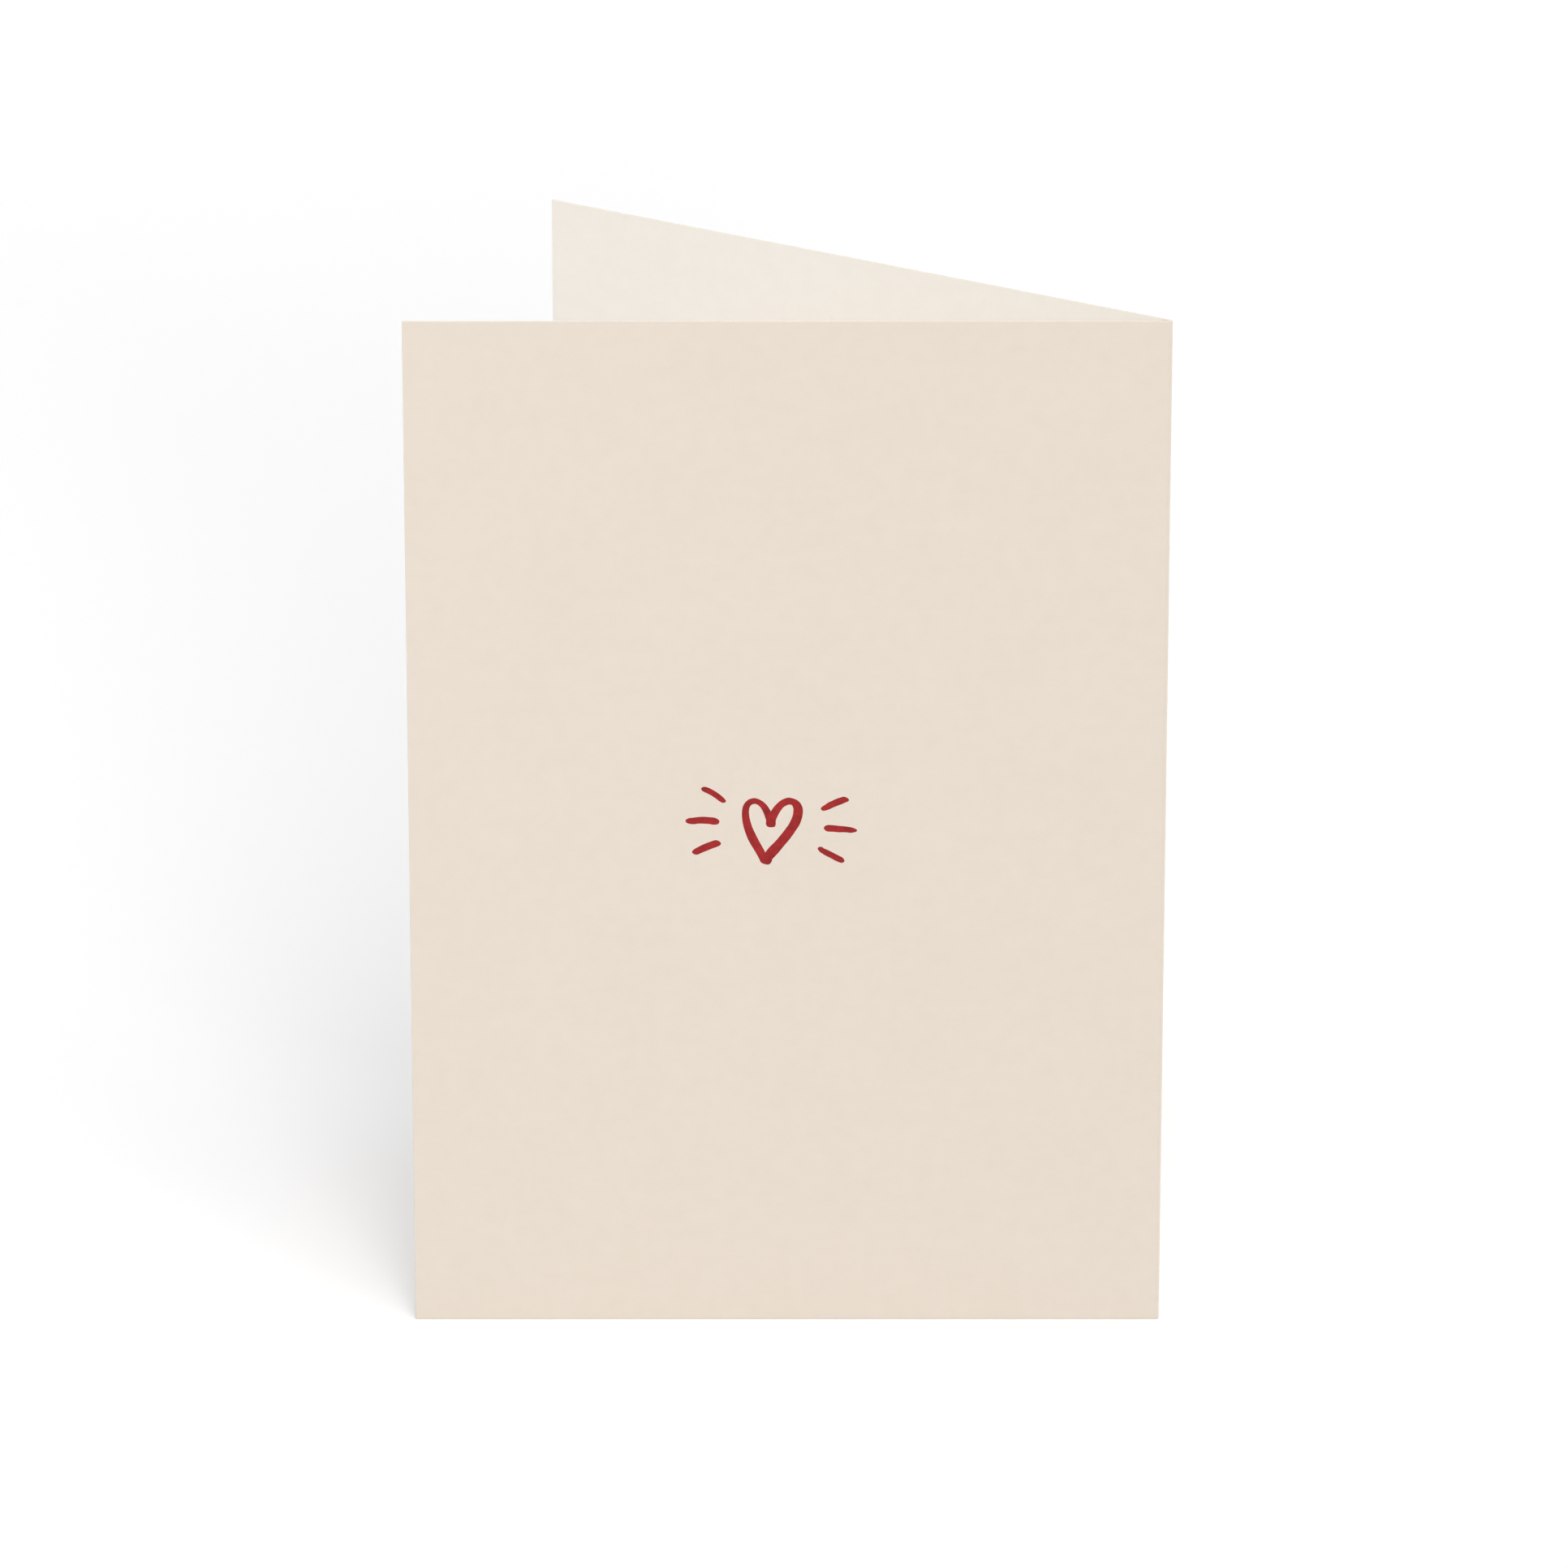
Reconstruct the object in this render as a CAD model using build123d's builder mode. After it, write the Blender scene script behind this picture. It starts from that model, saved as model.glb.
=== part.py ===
from build123d import *
from math import cos, radians, sin
import os

# Folded greeting card, standing on its bottom edge and opened a little.
# Millimetres. +Z is up. The back cover's outer face is parallel to the XZ plane and faces -Y,
# the fold runs along Z on the +X side, and the origin is the centre of the bounding box's base.

# driving dimensions
sheet_length = 254.0  # flat sheet, across both panels
sheet_height = 177.8  # flat sheet, along the fold
board = 0.40  # thickness of the board
opening_angle = 35.0  # between the two panels, at the fold
fold_inner_radius = 0.20  # inside of the scored fold
bead_run = 0.10  # how far the crease's bead reaches up each inner face
bead_rise = 0.08  # how far the bead stands out of the fold's corner

# derived dimensions
fold_outer_radius = fold_inner_radius + board
fold_turn = 180.0 - opening_angle
# the sheet's middle line keeps its length round the fold
panel_flat = sheet_length / 2 - radians(fold_turn / 2) * (fold_inner_radius + board / 2)

# directions in the XY plane: along each panel from the fold to its free edge, and out of each cover
near_along = Vector(-1, 0)
near_out = Vector(0, -1)
far_along = Vector(-cos(radians(opening_angle)), sin(radians(opening_angle)))
far_out = Vector(sin(radians(opening_angle)), cos(radians(opening_angle)))
into_card = (near_along + far_along).normalized()

# the fold's centre, placed so that the bounding box's base is centred on the origin
left = -panel_flat
right = fold_outer_radius
front = -fold_outer_radius
back = fold_outer_radius * far_out.Y + panel_flat * far_along.Y
fold_centre = Vector(-(left + right) / 2, -(front + back) / 2)

# corners of the section: outside and inside of each panel, at the fold and at the free edge
near_outer_fold = fold_centre + near_out * fold_outer_radius
near_outer_edge = near_outer_fold + near_along * panel_flat
near_inner_edge = near_outer_edge - near_out * board
near_inner_fold = fold_centre + near_out * fold_inner_radius + near_along * bead_run
far_outer_fold = fold_centre + far_out * fold_outer_radius
far_outer_edge = far_outer_fold + far_along * panel_flat
far_inner_edge = far_outer_edge - far_out * board
far_inner_fold = fold_centre + far_out * fold_inner_radius + far_along * bead_run

# top of the bead, on the line that halves the opening
bead_top = (near_inner_fold + far_inner_fold) * 0.5 + into_card * bead_rise

# One sheet of board, square cut, scored and folded once: its section runs the full height.
with BuildPart() as card:
    with BuildSketch(Plane.XY) as section:
        with BuildLine() as outline:
            Line(near_outer_fold, near_outer_edge)  # back cover, outside
            Line(near_outer_edge, near_inner_edge)  # back cover's free edge, square cut
            Line(near_inner_edge, near_inner_fold)  # back cover, inside
            ThreePointArc(near_inner_fold, bead_top, far_inner_fold)  # bead inside the crease
            Line(far_inner_fold, far_inner_edge)  # front cover, inside
            Line(far_inner_edge, far_outer_edge)  # front cover's free edge, square cut
            Line(far_outer_edge, far_outer_fold)  # front cover, outside
            CenterArc(fold_centre, fold_outer_radius, -90, fold_turn)  # outside of the fold
        make_face()
    extrude(amount=sheet_height)

os.makedirs("parts", exist_ok=True)
card.part.label = "card"
export_step(card.part, "parts/card.step")

box = card.part.bounding_box()
print(f"panel {panel_flat:.3f} mm flat, panel with its fold {panel_flat + fold_outer_radius:.3f} mm")
print(f"fold centre {fold_centre.X:.4f}, {fold_centre.Y:.4f}")
print(f"box {box.min.X:.4f} {box.min.Y:.4f} {box.min.Z:.4f} to {box.max.X:.4f} {box.max.Y:.4f} {box.max.Z:.4f}")
print(f"volume {card.part.volume:.1f} mm3, sheet {sheet_length * sheet_height * board:.1f} mm3, bead's height over the outside {fold_outer_radius + (bead_top - fold_centre).dot(into_card):.3f} mm")
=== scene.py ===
from math import atan2, ceil, cos, pi, radians, sin

import bpy
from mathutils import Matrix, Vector
from mathutils.geometry import delaunay_2d_cdt


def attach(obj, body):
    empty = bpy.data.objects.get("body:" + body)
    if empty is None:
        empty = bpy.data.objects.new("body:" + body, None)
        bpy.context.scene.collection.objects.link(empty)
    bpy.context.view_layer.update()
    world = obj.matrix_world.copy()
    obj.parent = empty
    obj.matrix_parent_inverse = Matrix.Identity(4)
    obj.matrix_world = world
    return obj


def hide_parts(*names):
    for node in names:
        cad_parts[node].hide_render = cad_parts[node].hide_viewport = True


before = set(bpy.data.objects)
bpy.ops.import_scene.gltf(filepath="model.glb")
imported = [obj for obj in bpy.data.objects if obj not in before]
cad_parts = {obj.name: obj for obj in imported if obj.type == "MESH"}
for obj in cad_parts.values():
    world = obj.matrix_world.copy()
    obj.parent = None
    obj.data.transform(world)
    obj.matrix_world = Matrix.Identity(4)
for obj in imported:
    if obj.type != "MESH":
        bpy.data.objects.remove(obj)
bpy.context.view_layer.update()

# ---------------------------------------------------------------------------------------
# The card: one sheet of board, folded once. Millimetres here, metres in the finished mesh.
# ---------------------------------------------------------------------------------------
SHEET_LENGTH = 254.0
HEIGHT = 177.8
BOARD = 0.40
OPENING = radians(35.0)
FOLD_INNER = 0.20
FOLD_OUTER = FOLD_INNER + BOARD
BEAD_RUN = 0.10
BEAD_RISE = 0.08
FOLD_TURN = pi - OPENING
PANEL = SHEET_LENGTH / 2 - FOLD_TURN / 2 * (FOLD_INNER + BOARD / 2)
ROUND = 0.09  # the cut edges are a little rounded by the blade
FOLD_STEPS = 28
CELL = 2.5

near_along, near_out = Vector((-1, 0)), Vector((0, -1))
far_along, far_out = Vector((-cos(OPENING), sin(OPENING))), Vector((sin(OPENING), cos(OPENING)))
into_card = (near_along + far_along).normalized()
back = FOLD_OUTER * far_out.y + PANEL * far_along.y
fold_centre = Vector(((PANEL - FOLD_OUTER) / 2, (FOLD_OUTER - back) / 2))

# inside of the crease: a small bead between the two inner faces
bead_a = fold_centre + near_out * FOLD_INNER + near_along * BEAD_RUN
bead_b = fold_centre + far_out * FOLD_INNER + far_along * BEAD_RUN
chord_mid = (bead_a + bead_b) / 2
half_chord = (bead_a - bead_b).length / 2
bead_radius = (half_chord**2 + BEAD_RISE**2) / (2 * BEAD_RISE)
bead_centre = chord_mid + into_card * (BEAD_RISE - bead_radius)
bead_half = atan2(half_chord, bead_radius - BEAD_RISE)
across = (bead_a - bead_b).normalized()

# Columns across the sheet, from the near panel's free edge, round the fold, to the far one's.
# Each holds its outer point, its inner point, the outward direction and its distance along each side.
columns = []


def column(outer, inner, out, run_out, run_in, panel):
    columns.append({"outer": outer, "inner": inner, "out": out, "so": run_out, "si": run_in, "panel": panel})


def steps(length, cell):
    n = ceil(length / cell)
    return [length * k / n for k in range(n + 1)]


flat_run = PANEL - BEAD_RUN
near_edge = fold_centre + near_out * FOLD_OUTER + near_along * PANEL
for s in [ROUND] + steps(flat_run, CELL)[1:]:
    outer = near_edge - near_along * s
    column(outer, outer - near_out * BOARD, near_out, s, s, "near")
near_last = len(columns) - 1
fold_length = FOLD_TURN * FOLD_OUTER + 2 * BEAD_RUN
bead_length = 2 * bead_half * bead_radius
for k in range(1, FOLD_STEPS):
    t = k / FOLD_STEPS
    run = fold_length * t
    turn = min(max(run - BEAD_RUN, 0.0) / FOLD_OUTER, FOLD_TURN)
    out = Vector((sin(turn), -cos(turn)))
    along = Vector((cos(turn), sin(turn)))
    slip = min(run - BEAD_RUN, 0.0) + max(run - BEAD_RUN - FOLD_TURN * FOLD_OUTER, 0.0)
    outer = fold_centre + out * FOLD_OUTER + along * slip
    angle = bead_half * (1 - 2 * t)
    inner = bead_centre + into_card * (bead_radius * cos(angle)) + across * (bead_radius * sin(angle))
    column(outer, inner, out, flat_run + run, flat_run + bead_length * t, "fold")
far_first = len(columns)
far_edge = fold_centre + far_out * FOLD_OUTER + far_along * PANEL
for s in [flat_run] + [flat_run - x for x in steps(flat_run, CELL)[1:-1]] + [ROUND]:
    outer = far_edge - far_along * s
    column(outer, outer - far_out * BOARD, far_out, flat_run * 2 + fold_length - s, flat_run * 2 + bead_length - s, "far")
rows = [ROUND] + steps(HEIGHT, CELL)[1:-1] + [HEIGHT - ROUND]
C, R = len(columns), len(rows)
last = columns[-1]
OUT_LENGTH, IN_LENGTH = last["so"] + ROUND, last["si"] + ROUND


def fade(x, reach):
    x = min(max(x / reach, 0.0), 1.0)
    return x * x * (3 - 2 * x)


def cockle(s, z, seed):
    """The sheet's slight waviness, which dies out towards the cut edges and the fold."""
    held = fade(s, 14) * fade(flat_run - s, 14) * fade(z, 14) * fade(HEIGHT - z, 14)
    wave = (
        sin(2 * pi * (s / 61 + z / 97) + seed)
        + 0.6 * sin(2 * pi * (s / 37 - z / 53) + 2.1 * seed)
        + 0.4 * sin(2 * pi * (z / 29 + s / 83) + 4.0 * seed)
    )
    return 0.02 * wave * held


def place(c, s_shift, z, depth):
    """A point of the sheet: at column c, moved along the sheet, at height z, depth from 0 outside to 1 inside."""
    col = columns[c]
    p = col["outer"].lerp(col["inner"], depth)
    if col["panel"] == "near":
        s = col["so"]
        p = p - near_along * s_shift + near_out * cockle(s, z, 0.7)
    elif col["panel"] == "far":
        s = OUT_LENGTH - col["so"]
        p = p - far_along * s_shift + far_out * cockle(s, z, 1.9)
    return Vector((p.x, p.y, z))


# ---------------------------------------------------------------------------------------
# The print: a small heart drawn with a round brush, and three short dashes on each side.
# Closed outlines on the near panel, x and z in millimetres; marked points are corners.
# ---------------------------------------------------------------------------------------
HEART = [(-2.77, 92.05), (-2.13, 93.01), (-1.19, 93.96), (-0.56, 94.33), (0.10, 94.54), (0.76, 94.46), (1.43, 94.21), (1.94, 93.84), (2.29, 93.34), (2.52, 92.70), (2.54, 91.90), (2.41, 91.06), (1.94, 89.69), (1.47, 88.94), (0.92, 88.07), (0.34, 87.24), (-0.25, 86.49), (-0.92, 85.66), (-1.58, 84.78), (-2.21, 84.08), (-2.60, 83.62), (-2.66, 83.30), (-2.87, 82.94), (-3.15, 82.72), (-3.58, 82.74), (-4.09, 82.91), (-4.44, 83.14), (-4.56, 83.45), (-5.03, 84.41), (-5.53, 85.32), (-6.04, 86.20), (-6.59, 87.28), (-6.98, 88.36), (-7.29, 89.44), (-7.48, 90.44), (-7.56, 91.43), (-7.54, 92.26), (-7.40, 93.01), (-7.05, 93.67), (-6.58, 94.13), (-6.11, 94.35), (-5.56, 94.46), (-5.02, 94.35), (-4.39, 94.04), (-3.77, 93.55), (-3.30, 92.97)]
HEART_CORNERS = {0, 20, 27}
HEART_HOLE = [(-3.71, 84.74), (-4.09, 85.49), (-4.55, 86.36), (-5.02, 87.28), (-5.49, 88.28), (-5.92, 89.27), (-6.23, 90.27), (-6.43, 91.18), (-6.50, 92.09), (-6.44, 92.68), (-6.23, 93.17), (-5.88, 93.46), (-5.45, 93.55), (-5.02, 93.41), (-4.55, 93.01), (-4.16, 92.39), (-3.89, 91.76), (-3.68, 91.14), (-3.50, 90.60), (-3.52, 90.19), (-3.50, 89.77), (-3.26, 89.48), (-2.87, 89.37), (-2.44, 89.40), (-2.17, 89.46), (-2.03, 89.77), (-2.01, 90.19), (-1.99, 90.60), (-1.78, 91.10), (-1.50, 91.72), (-1.11, 92.39), (-0.64, 92.97), (-0.17, 93.26), (0.30, 93.42), (0.69, 93.38), (0.92, 93.13), (1.06, 92.72), (1.06, 92.09), (0.96, 91.43), (0.69, 90.68), (0.30, 89.85), (-0.25, 89.02), (-0.92, 88.11), (-1.62, 87.20), (-2.36, 86.36), (-3.07, 85.62), (-3.46, 85.08)]
HOLE_CORNERS = {0, 18}
DASHES = [
    [(-14.40, 96.14), (-14.24, 96.37), (-13.97, 96.46), (-13.38, 96.34), (-12.68, 96.00), (-11.99, 95.58), (-11.38, 95.12), (-10.86, 94.66), (-10.56, 94.34), (-10.34, 93.97), (-10.47, 93.79), (-10.82, 93.72), (-11.26, 93.93), (-11.91, 94.43), (-12.69, 94.99), (-13.38, 95.38), (-13.99, 95.68), (-14.29, 95.91)],
    [(-17.06, 90.42), (-16.87, 90.70), (-16.52, 90.87), (-15.82, 90.96), (-15.04, 91.07), (-14.09, 91.12), (-13.13, 91.05), (-12.26, 90.96), (-11.78, 90.75), (-11.46, 90.44), (-11.61, 89.98), (-11.92, 89.85), (-12.35, 89.83), (-13.13, 89.95), (-14.09, 90.01), (-15.04, 90.01), (-15.57, 89.92), (-16.26, 89.95), (-16.78, 90.10)],
    [(-15.96, 84.84), (-15.84, 85.12), (-15.58, 85.37), (-14.97, 85.73), (-14.10, 86.20), (-13.14, 86.59), (-12.45, 86.85), (-11.92, 86.96), (-11.49, 86.78), (-11.20, 86.46), (-11.32, 86.18), (-11.75, 85.92), (-12.62, 85.58), (-13.67, 85.12), (-14.54, 84.75), (-15.02, 84.51), (-15.32, 84.46), (-15.76, 84.63)],
    [(5.68, 92.63), (5.84, 92.94), (6.25, 93.20), (6.82, 93.63), (7.47, 93.96), (8.28, 94.34), (8.94, 94.58), (9.43, 94.71), (9.92, 94.58), (10.24, 94.32), (10.28, 94.11), (9.67, 93.76), (9.02, 93.46), (8.29, 93.18), (7.63, 92.89), (7.06, 92.59), (6.57, 92.42), (6.17, 92.31), (5.84, 92.37)],
    [(6.17, 89.18), (6.33, 89.47), (6.66, 89.64), (7.31, 89.67), (8.13, 89.58), (8.86, 89.50), (9.85, 89.41), (10.66, 89.27), (11.23, 89.08), (11.66, 88.78), (11.56, 88.60), (11.15, 88.47), (10.66, 88.38), (10.01, 88.47), (9.19, 88.49), (8.54, 88.49), (7.72, 88.58), (7.07, 88.60), (6.58, 88.69), (6.29, 88.95)],
    [(5.15, 85.52), (5.28, 85.71), (5.77, 85.78), (6.05, 85.56), (6.67, 85.26), (7.32, 84.93), (8.06, 84.52), (8.71, 84.17), (9.20, 83.91), (9.45, 83.61), (9.55, 83.36), (9.41, 83.10), (9.12, 83.02), (8.63, 83.17), (7.98, 83.48), (7.24, 83.91), (6.50, 84.30), (5.93, 84.67), (5.52, 84.95), (5.28, 85.26)],
]


def closed_curve(points, corners=frozenset(), step=0.2):
    """A smooth closed line through the points, with a sharp turn at each corner."""
    pts = [Vector(p) for p in points]
    n = len(pts)

    def heading(i):
        a, b = (pts[i] - pts[i - 1]), (pts[(i + 1) % n] - pts[i])
        return (a.normalized() + b.normalized()).normalized()

    line = []
    for i in range(n):
        p, q = pts[i], pts[(i + 1) % n]
        length = (q - p).length
        a = (q - p) if i in corners else heading(i) * length
        b = (q - p) if (i + 1) % n in corners else heading((i + 1) % n) * length
        parts = max(2, round(length / step))
        for k in range(parts):
            t = k / parts
            line.append(
                p * (2 * t**3 - 3 * t**2 + 1) + a * (t**3 - 2 * t**2 + t) + q * (3 * t**2 - 2 * t**3) + b * (t**3 - t**2)
            )
    return line


def counterclockwise(line):
    return line if sum(p.cross(q) for p, q in zip(line, line[1:] + line[:1])) > 0 else line[::-1]


def spread_by(line, reach):
    """Moves a counter-clockwise outline outwards, as wet ink spreads into the board."""
    moved = []
    for before, p, after in zip(line[-1:] + line[:-1], line, line[1:] + line[:1]):
        d = (after - before).normalized()
        moved.append(p + Vector((d.y, -d.x)) * reach)
    return moved


INK_SPREAD = 0.065
INK_RIM = 0.18  # the ink dries a little darker this near to its outline
outlines = [closed_curve(HEART, HEART_CORNERS), closed_curve(HEART_HOLE, HOLE_CORNERS)]
outlines = [counterclockwise(line) for line in outlines + [closed_curve(d) for d in DASHES]]
outlines = [spread_by(line, -INK_SPREAD if k == 1 else INK_SPREAD) for k, line in enumerate(outlines)]

# ---------------------------------------------------------------------------------------
# Mesh: outer side, inner side and cut edges are one closed skin
# ---------------------------------------------------------------------------------------
verts, uv_sheet = [], []
faces = []  # (vertex indices, material, island, sheet coordinates of each corner)
OUTSIDE, INSIDE, CUT, INK = range(4)


def add(p):
    verts.append(p * 0.001)
    return len(verts) - 1


outer_id = [[0] * R for _ in range(C)]
inner_id = [[0] * R for _ in range(C)]
for c in range(C):
    for r in range(R):
        if columns[c]["panel"] == "near" and 0 < c < near_last and 0 < r < R - 1:
            outer_id[c][r] = None  # the triangulated panel has its own inner points
        else:
            outer_id[c][r] = add(place(c, 0, rows[r], 0.0))
        inner_id[c][r] = add(place(c, 0, rows[r], 1.0))

# near panel, outside: a triangulated sheet that holds the print's outlines
loop = [(c, 0) for c in range(near_last + 1)]
loop += [(near_last, r) for r in range(1, R)]
loop += [(c, R - 1) for c in range(near_last - 1, -1, -1)]
loop += [(0, r) for r in range(R - 2, 0, -1)]
flat_points, owner = [], []
for c, r in loop:
    flat_points.append(Vector((columns[c]["outer"].x, rows[r])))
    owner.append(outer_id[c][r])
rings = [list(range(len(loop)))]
for line in outlines:
    rings.append(list(range(len(flat_points), len(flat_points) + len(line))))
    flat_points += line
    owner += [None] * len(line)
on_outlines = [p for line in outlines for p in line]
PRINT_BOX = (-20.0, 15.0, 79.5, 99.5)


def clear_of_print(p, gap):
    return all(abs(p.x - q.x) > gap or abs(p.y - q.y) > gap or (p - q).length > gap for q in on_outlines)


for c in range(1, near_last):
    for r in range(1, R - 1):
        p = Vector((columns[c]["outer"].x, rows[r]))
        if not (PRINT_BOX[0] < p.x < PRINT_BOX[1] and PRINT_BOX[2] < p.y < PRINT_BOX[3]):
            flat_points.append(p)
            owner.append(None)
nx, nz = 44, 25
for i in range(nx):
    for j in range(nz):
        # every other line is shifted by half a cell
        x = PRINT_BOX[0] + (PRINT_BOX[1] - PRINT_BOX[0]) * (i + 0.25 + 0.5 * (j % 2)) / nx
        z = PRINT_BOX[2] + (PRINT_BOX[3] - PRINT_BOX[2]) * (j + 0.5) / nz
        if clear_of_print(Vector((x, z)), INK_RIM + 0.1):
            flat_points.append(Vector((x, z)))
            owner.append(None)
for k, line in enumerate(outlines):
    for p in spread_by(line, INK_RIM if k == 1 else -INK_RIM):
        if clear_of_print(p, 0.85 * INK_RIM):
            flat_points.append(p)
            owner.append(None)

made_points, _, made_faces, from_points, _, from_faces = delaunay_2d_cdt(flat_points, [], rings, 1, 1e-6, True)
near_left = columns[0]["outer"].x - ROUND
made_id, outlined = [], set()
for p, origins in zip(made_points, from_points):
    kept = [owner[i] for i in origins if owner[i] is not None]
    s = p.x - near_left
    made_id.append(kept[0] if kept else add(Vector((p.x, near_edge.y - cockle(s, p.y, 0.7), p.y))))
    if any(len(loop) <= i < len(loop) + len(on_outlines) for i in origins):
        outlined.add(made_id[-1])
for face, origins in zip(made_faces, from_faces):
    flat = [made_points[i] for i in face]
    turn = (flat[1] - flat[0]).cross(flat[2] - flat[0])
    order = list(range(len(face))) if turn > 0 else list(range(len(face)))[::-1]
    inked = (1 in origins and 2 not in origins) or any(k in origins for k in range(3, 3 + len(DASHES)))
    faces.append(
        (
            [made_id[face[i]] for i in order],
            INK if inked else OUTSIDE,
            "ink" if inked else "outside",
            [(flat[i].x - near_left, flat[i].y) for i in order],
        )
    )

# the rest of the outside
for c in range(near_last, C - 1):
    for r in range(R - 1):
        at = [(c, r), (c + 1, r), (c + 1, r + 1), (c, r + 1)]
        faces.append(([outer_id[i][j] for i, j in at], OUTSIDE, "outside", [(columns[i]["so"], rows[j]) for i, j in at]))

# inside
middle = (near_last + far_first) // 2
for c in range(C - 1):
    for r in range(R - 1):
        at = [(c, r), (c, r + 1), (c + 1, r + 1), (c + 1, r)]
        island = "inside_near" if c < middle else "inside_far"
        faces.append(([inner_id[i][j] for i, j in at], INSIDE, island, [(columns[i]["si"], rows[j]) for i, j in at]))

# cut edges: rings from the outside to the inside, round the whole sheet
border = [(c, 0, "bottom") for c in range(C - 1)]
border += [(C - 1, r, "far_edge") for r in range(R - 1)]
border += [(c, R - 1, "top") for c in range(C - 1, 0, -1)]
border += [(0, r, "near_edge") for r in range(R - 1, 0, -1)]
profile = []  # depth through the board, distance in from the cut
for k in (1, 2, 3):
    a = radians(90 * k / 3)
    profile.append((ROUND * (1 - cos(a)), ROUND * (1 - sin(a))))
profile += [(BOARD / 2, 0.0)]
profile += [(BOARD - d, inset) for d, inset in profile[-2::-1]]
ring_ids = [[outer_id[c][r] for c, r, _ in border]]
for depth, inset in profile:
    ids = []
    for c, r, _ in border:
        z = rows[r]
        if r == 0:
            z = inset
        elif r == R - 1:
            z = HEIGHT - inset
        shift = 0.0
        if c in (0, C - 1):
            shift = inset - ROUND
        ids.append(add(place(c, shift, z, depth / BOARD)))
    ring_ids.append(ids)
ring_ids.append([inner_id[c][r] for c, r, _ in border])
# distance round the cut, and through the board
spots, run = [], 0.0
for k in range(len(border)):
    p, q = (verts[ring_ids[2][i % len(border)]] for i in (k, k + 1))
    spots.append(run)
    run += (q - p).length * 1000
spots.append(run)
sides_from = {}
for k, (_, _, side) in enumerate(border):
    sides_from.setdefault(side, spots[k])
thickness = [0.0]
for a, b in zip(ring_ids, ring_ids[1:]):
    thickness.append(thickness[-1] + (verts[b[5]] - verts[a[5]]).length * 1000)
for k in range(len(border)):
    m = (k + 1) % len(border)
    side = border[k][2]
    for i in range(len(ring_ids) - 1):
        a, b = ring_ids[i], ring_ids[i + 1]
        u0, u1 = spots[k] - sides_from[side], spots[k + 1] - sides_from[side]
        faces.append(
            (
                [a[k], b[k], b[m], a[m]],
                CUT,
                side,
                [(u0, thickness[i]), (u0, thickness[i + 1]), (u1, thickness[i + 1]), (u1, thickness[i])],
            )
        )

mesh = bpy.data.meshes.new("folded_card")
mesh.from_pydata(verts, [], [f[0] for f in faces])
mesh.update()
card = bpy.data.objects.new("folded_card", mesh)
bpy.context.scene.collection.objects.link(card)

# Where each side of the sheet lies on the square map: the outside across the top, the two
# inner faces turned on their sides below it, the cut edges as strips between, the print apart.
MAP = 1024.0
K_OUT = (MAP - 24) / OUT_LENGTH
TOP = MAP - 12 - K_OUT * HEIGHT
K_IN = (TOP - 48) / (IN_LENGTH / 2)
K_EDGE = 2.30
K_INK = (MAP - 36 - 2 * (K_IN * HEIGHT + 10)) / 29.5
ACROSS = 7.0 / max(thickness)


def on_map(island, s, z):
    if island == "outside":
        return 12 + K_OUT * s, TOP + K_OUT * z
    if island == "inside_near":
        return 10 + K_IN * z, 10 + K_IN * s
    if island == "inside_far":
        return 20 + K_IN * HEIGHT + K_IN * z, 10 + K_IN * (s - IN_LENGTH / 2)
    if island == "ink":
        return MAP - 14 - K_INK * 29.5 + K_INK * (s - (-17.4 - near_left)), 20 + K_INK * (z - 82.4)
    row, start = {"bottom": (0, 10), "top": (1, 10), "near_edge": (0, 604), "far_edge": (1, 604)}[island]
    return start + K_EDGE * s, TOP - 30 + 13 * row + ACROSS * z


bake_map = mesh.uv_layers.new(name="OFBake", do_init=False)
sheet_map = mesh.uv_layers.new(name="Sheet", do_init=False)
corner = 0
for polygon, (ids, material, island, places) in zip(mesh.polygons, faces):
    polygon.material_index = material
    polygon.use_smooth = True
    for k, (s, z) in enumerate(places):
        u, v = on_map(island, s, z)
        bake_map.data[polygon.loop_start + k].uv = (u / MAP, v / MAP)
        sheet_map.data[polygon.loop_start + k].uv = (s * 0.001, z * 0.001)
bake_map.active_render = True

# the faces end in a crisp line where the cut edge begins
rim = {frozenset(p) for ids in (ring_ids[0], ring_ids[-1]) for p in zip(ids, ids[1:] + ids[:1])}
sharp = mesh.attributes.new("sharp_edge", "BOOLEAN", "EDGE")
sharp.data.foreach_set("value", [frozenset(e.vertices) in rim for e in mesh.edges])
ink_edge = mesh.attributes.new("ink_edge", "FLOAT", "POINT")
ink_edge.data.foreach_set("value", [float(i in outlined) for i in range(len(verts))])
mesh.validate()
mesh.update()


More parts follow.
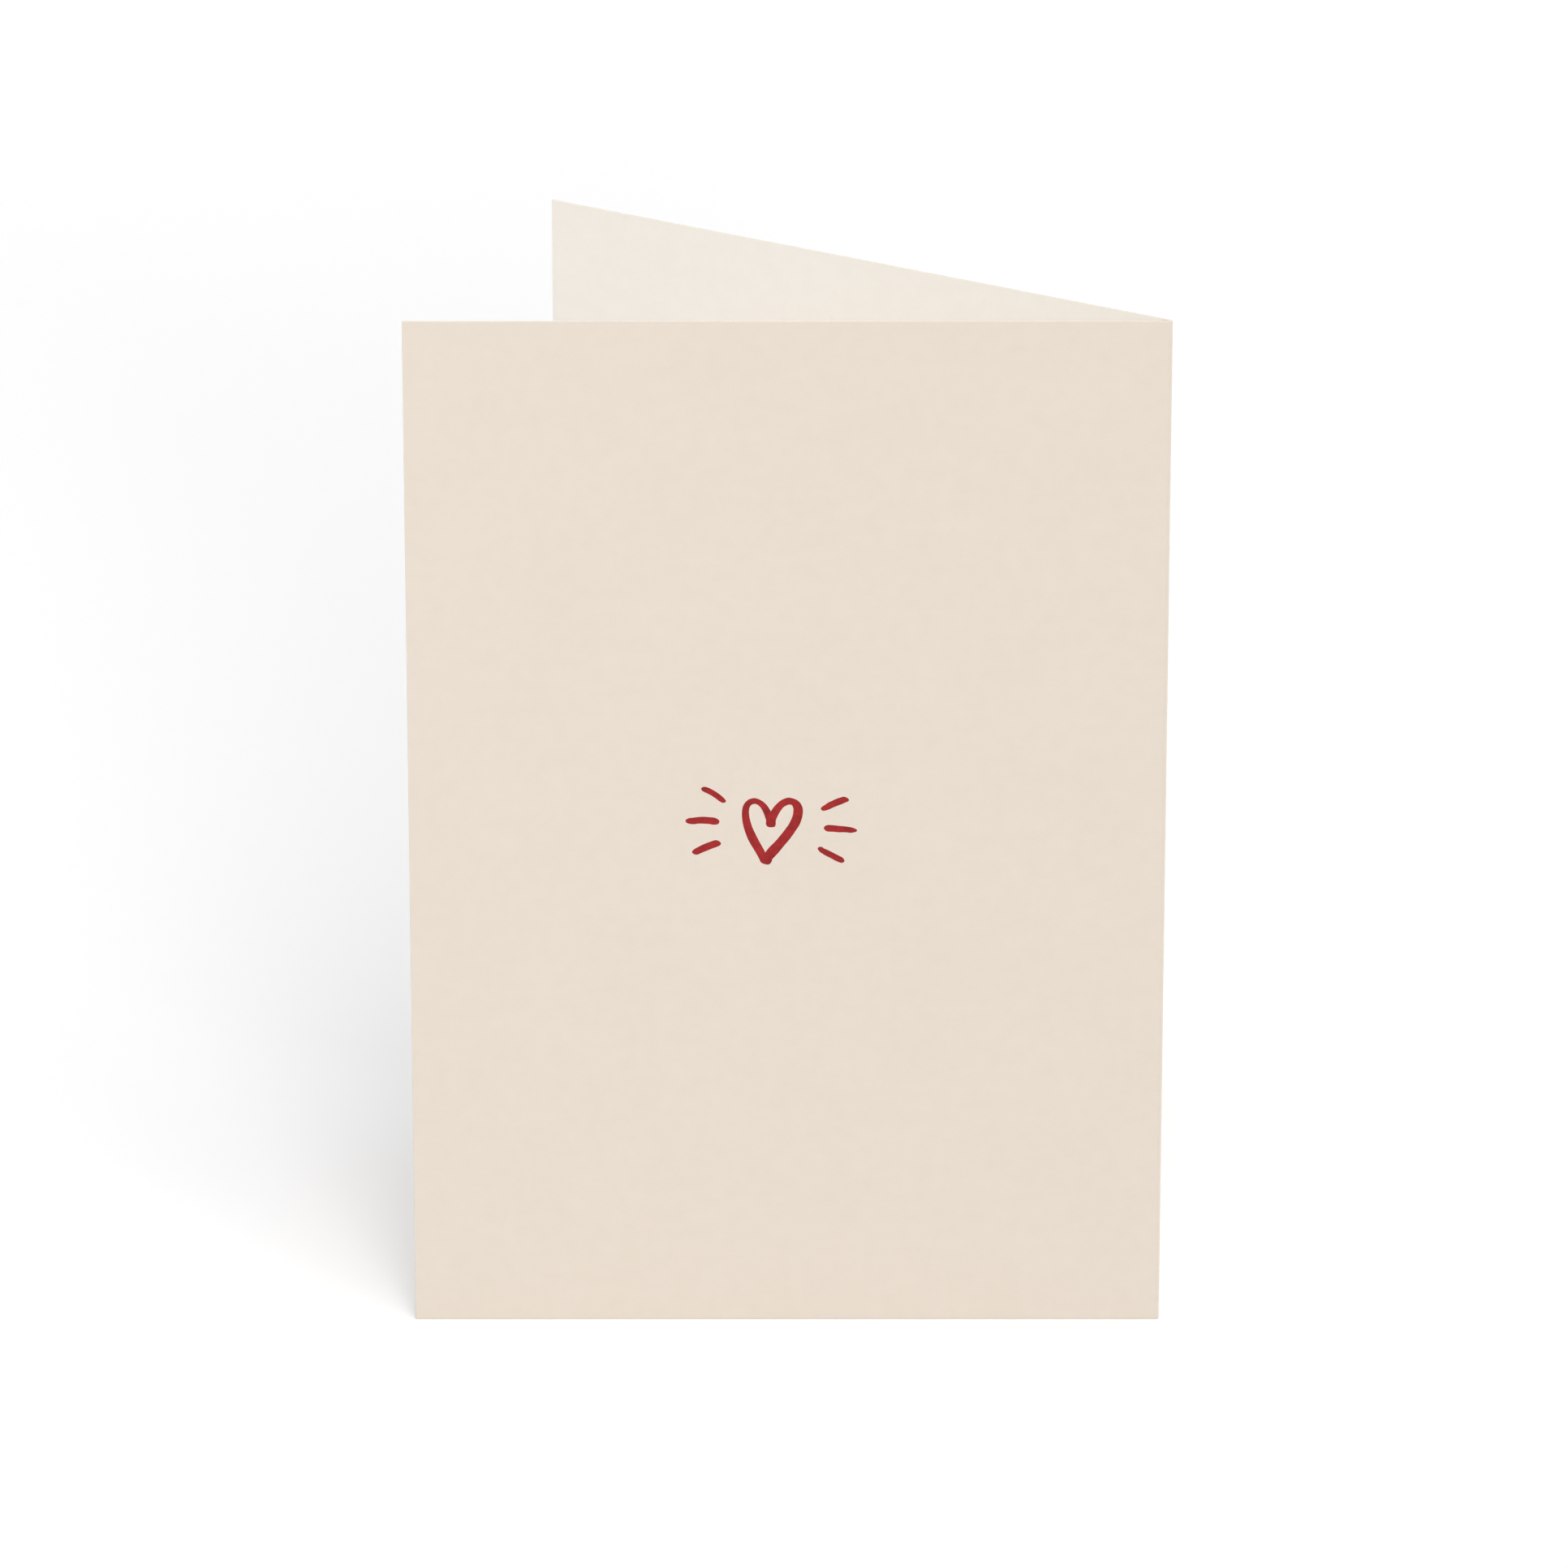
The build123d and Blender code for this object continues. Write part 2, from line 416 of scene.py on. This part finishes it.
# ---------------------------------------------------------------------------------------
# Materials
# ---------------------------------------------------------------------------------------
class Shading:
    """A material's nodes, made one by one."""

    def __init__(self, name):
        self.material = bpy.data.materials.new(name)
        self.material.use_nodes = True
        self.nodes = self.material.node_tree.nodes
        self.links = self.material.node_tree.links
        self.shader = self.nodes["Principled BSDF"]

    def link(self, a, b):
        self.links.new(a, b)

    def sheet(self, scale, shift=(0, 0, 0)):
        source = self.nodes.new("ShaderNodeUVMap")
        source.uv_map = "Sheet"
        mapping = self.nodes.new("ShaderNodeMapping")
        mapping.inputs["Scale"].default_value = scale
        mapping.inputs["Location"].default_value = shift
        self.link(source.outputs["UV"], mapping.inputs["Vector"])
        return mapping.outputs["Vector"]

    def solid(self, scale):
        source = self.nodes.new("ShaderNodeTexCoord")
        mapping = self.nodes.new("ShaderNodeMapping")
        mapping.inputs["Scale"].default_value = scale
        self.link(source.outputs["Object"], mapping.inputs["Vector"])
        return mapping.outputs["Vector"]

    def noise(self, where, detail=2.0, rough=0.5, distortion=0.0):
        n = self.nodes.new("ShaderNodeTexNoise")
        n.inputs["Scale"].default_value = 1.0
        n.inputs["Detail"].default_value = detail
        n.inputs["Roughness"].default_value = rough
        n.inputs["Distortion"].default_value = distortion
        self.link(where, n.inputs["Vector"])
        return n.outputs["Fac"]

    def math(self, kind, a, b):
        n = self.nodes.new("ShaderNodeMath")
        n.operation = kind
        for value, socket in ((a, n.inputs[0]), (b, n.inputs[1])):
            if isinstance(value, float):
                socket.default_value = value
            else:
                self.link(value, socket)
        return n.outputs[0]

    def total(self, parts):
        """Weighted sum of noises, each as its distance from a half, added to a half."""
        value = None
        for source, weight in parts:
            centred = self.math("MULTIPLY", self.math("SUBTRACT", source, 0.5), float(weight))
            value = self.math("ADD", centred, 0.5) if value is None else self.math("ADD", value, centred)
        return value

    def between(self, factor, dark, light):
        n = self.nodes.new("ShaderNodeMix")
        n.data_type = "RGBA"
        n.clamp_factor = True
        self.link(factor, n.inputs["Factor"])
        n.inputs[6].default_value = (*dark, 1)
        n.inputs[7].default_value = (*light, 1)
        return n.outputs[2]

    def spread(self, value, low, high):
        n = self.nodes.new("ShaderNodeMapRange")
        n.inputs["To Min"].default_value = low
        n.inputs["To Max"].default_value = high
        self.link(value, n.inputs["Value"])
        return n.outputs["Result"]

    def bump(self, height, distance, strength):
        n = self.nodes.new("ShaderNodeBump")
        n.inputs["Distance"].default_value = distance
        n.inputs["Strength"].default_value = strength
        self.link(height, n.inputs["Height"])
        self.link(n.outputs["Normal"], self.shader.inputs["Normal"])


def toned(colour, share):
    return tuple(x * share for x in colour)


def board_material(name, colour, shift, contrast):
    """Uncoated board: soft clouds where the pulp lies thicker, faint streaks along the grain, and a fine tooth."""
    m = Shading(name)
    clouds = m.noise(m.sheet((64, 58, 1), shift), 3.0, 0.55)
    formation = m.noise(m.sheet((340, 340, 1), shift), 3.0, 0.6)
    streaks = m.noise(m.sheet((75, 900, 1), shift), 2.0, 0.5)
    tooth = m.noise(m.sheet((2300, 2600, 1), shift), 2.0, 0.6)
    fibres = m.noise(m.sheet((5600, 9200, 1), shift), 2.0, 0.6, 0.8)
    fac = m.total([(clouds, 0.33), (formation, 0.61), (streaks, 0.12), (tooth, 0.32), (fibres, 0.16)])
    dark = tuple(x * (1 - k) for x, k in zip(colour, contrast))
    light = tuple(x * (1 + k) for x, k in zip(colour, contrast))
    m.link(m.between(fac, dark, light), m.shader.inputs["Base Color"])
    m.link(m.spread(m.total([(tooth, 0.8), (formation, 0.6)]), 0.80, 0.94), m.shader.inputs["Roughness"])
    m.bump(m.total([(tooth, 0.55), (formation, 0.8), (streaks, 0.25), (fibres, 0.35)]), 0.00004, 0.35)
    m.shader.inputs["Specular IOR Level"].default_value = 0.28
    m.shader.inputs["Diffuse Roughness"].default_value = 0.25
    return m.material


def cut_material(name, colour):
    """The cut edge: fibres along the sheet, packed in thin layers."""
    m = Shading(name)
    fibres = m.noise(m.solid((5200, 5200, 5200)), 3.0, 0.65)
    lengths = m.noise(m.solid((420, 420, 420)), 2.0, 0.5)
    fac = m.total([(fibres, 0.9), (lengths, 0.6)])
    m.link(m.between(fac, toned(colour, 0.90), toned(colour, 1.07)), m.shader.inputs["Base Color"])
    m.shader.inputs["Roughness"].default_value = 0.95
    m.bump(fibres, 0.00005, 0.4)
    m.shader.inputs["Specular IOR Level"].default_value = 0.2
    m.shader.inputs["Diffuse Roughness"].default_value = 0.3
    return m.material


def ink_material(name, thin, full):
    """Red ink laid with a brush: it varies in depth, sinks into the board's tooth, and dries darker at its outline."""
    m = Shading(name)
    pools = m.noise(m.sheet((520, 620, 1), (3.1, 1.7, 0)), 3.0, 0.6, 0.3)
    tooth = m.noise(m.sheet((2600, 2600, 1), (1.3, 0.4, 0)), 3.0, 0.7)
    edge = m.nodes.new("ShaderNodeAttribute")
    edge.attribute_name = "ink_edge"
    fac = m.total([(pools, 1.9), (tooth, 1.3)])
    depth = m.math("SUBTRACT", fac, m.math("MULTIPLY", edge.outputs["Fac"], 0.12))
    m.link(m.between(depth, full, thin), m.shader.inputs["Base Color"])
    m.link(m.spread(fac, 0.62, 0.80), m.shader.inputs["Roughness"])
    m.bump(m.total([(tooth, 0.8), (pools, 0.3)]), 0.00003, 0.3)
    m.shader.inputs["Specular IOR Level"].default_value = 0.22
    return m.material


BEIGE = (0.834, 0.747, 0.651)
CREAM = (0.848, 0.809, 0.754)
mesh.materials.append(board_material("board_outside", BEIGE, (0, 0, 0), (0.041, 0.045, 0.058)))
mesh.materials.append(board_material("board_inside", CREAM, (4.7, 2.9, 0), (0.037, 0.041, 0.050)))
mesh.materials.append(cut_material("board_cut_edge", (0.785, 0.715, 0.635)))
mesh.materials.append(ink_material("red_ink", (0.474, 0.0290, 0.0290), (0.262, 0.0172, 0.0187)))

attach(card, "root")
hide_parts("card")

# ---------------------------------------------------------------------------------------
# Floor, light and camera
# ---------------------------------------------------------------------------------------
floor_mesh = bpy.data.meshes.new("floor")
floor_mesh.from_pydata([(-12, -12, -0.00001), (12, -12, -0.00001), (12, 12, -0.00001), (-12, 12, -0.00001)], [], [(0, 1, 2, 3)])
floor = bpy.data.objects.new("floor", floor_mesh)
bpy.context.scene.collection.objects.link(floor)
paint = Shading("pale_floor")
paint.shader.inputs["Roughness"].default_value = 1.0
paint.shader.inputs["Specular IOR Level"].default_value = 0.0
# the floor is white to look at, and sends only a little light back up
seen = paint.nodes.new("ShaderNodeLightPath")
FLOOR_SEEN, FLOOR_BOUNCE = (0.942, 0.943, 0.948), (0.55, 0.55, 0.55)
tone = paint.between(seen.outputs["Is Camera Ray"], FLOOR_BOUNCE, FLOOR_SEEN)
paint.link(tone, paint.shader.inputs["Base Color"])
floor_mesh.materials.append(paint.material)


def lamp_of(name, data, location, towards, lights):
    """Places a lamp that points at the card from that side. Some are shielded, so that they light only the card or only the floor."""
    lamp = bpy.data.objects.new(name, data)
    bpy.context.scene.collection.objects.link(lamp)
    lamp.rotation_euler = towards.to_track_quat("Z", "Y").to_euler()
    lamp.location = location
    lamp.visible_camera = False
    if lights is not None:
        shielded = bpy.data.collections.new(name + "_falls_on")
        shielded.objects.link(lights)
        lamp.light_linking.receiver_collection = shielded
    return lamp


def bearing(azimuth, elevation):
    """Azimuth 0 is straight in front of the near panel, and grows to the right."""
    a, e = radians(azimuth), radians(elevation)
    return Vector((sin(a) * cos(e), -cos(a) * cos(e), sin(e)))


def sun(name, azimuth, elevation, strength, spread, lights=None):
    """A large soft light, far off."""
    data = bpy.data.lights.new(name, "SUN")
    data.energy = strength
    data.angle = radians(spread)
    return lamp_of(name, data, bearing(azimuth, elevation) * 3, bearing(azimuth, elevation), lights)


def softbox(name, azimuth, elevation, distance, power, width, lights=None):
    data = bpy.data.lights.new(name, "AREA")
    data.shape = "DISK"
    data.size = width
    data.energy = power
    return lamp_of(name, data, bearing(azimuth, elevation) * distance + Vector((0, -0.0368, 0.089)), bearing(azimuth, elevation), lights)


KEY, FRONT, OVERHEAD, BACK, REAR, FILL, SIDE, AMBIENT = 1.172, 3.380, 0.271, 1.13, 1.16, 1.949, 2.002, 0.62
sun("key_light", 16.7, 44.7, KEY, 46.7)
sun("front_light", 9.0, 6.0, FRONT, 26, floor)
sun("overhead_light", 0, 90, OVERHEAD, 8, floor)
sun("back_light", 116, 15, BACK, 30, card)
sun("rear_light", 224, 15, REAR, 30, card)
softbox("fill_light", -10, 40, 1.5, FILL, 0.9, card)
softbox("side_light", -70, 30, 1.0, SIDE, 0.5, card)

world = bpy.data.worlds.new("studio")
bpy.context.scene.world = world
world.use_nodes = True
tree = world.node_tree
tree.nodes.clear()
soft = tree.nodes.new("ShaderNodeBackground")
soft.inputs["Color"].default_value = (1, 1, 1, 1)
soft.inputs["Strength"].default_value = AMBIENT
white = tree.nodes.new("ShaderNodeBackground")
white.inputs["Color"].default_value = (1, 1, 1, 1)
white.inputs["Strength"].default_value = 1.15
path = tree.nodes.new("ShaderNodeLightPath")
mix = tree.nodes.new("ShaderNodeMixShader")
out = tree.nodes.new("ShaderNodeOutputWorld")
tree.links.new(path.outputs["Is Camera Ray"], mix.inputs[0])
tree.links.new(soft.outputs[0], mix.inputs[1])
tree.links.new(white.outputs[0], mix.inputs[2])
tree.links.new(mix.outputs[0], out.inputs["Surface"])

view = bpy.context.scene.view_settings
view.view_transform = "Standard"
view.look = "None"
view.exposure = 0.0
view.gamma = 1.0

camera_data = bpy.data.cameras.new("camera")
camera_data.sensor_width = 36.0
camera_data.lens = 214.91
camera_data.clip_start = 0.05
camera_data.clip_end = 60.0
camera = bpy.data.objects.new("camera", camera_data)
camera.location = (-0.00056, -1.51669, 0.61809)
camera.rotation_euler = (radians(90 - 19.3975), 0, 0)
bpy.context.scene.collection.objects.link(camera)
bpy.context.scene.camera = camera
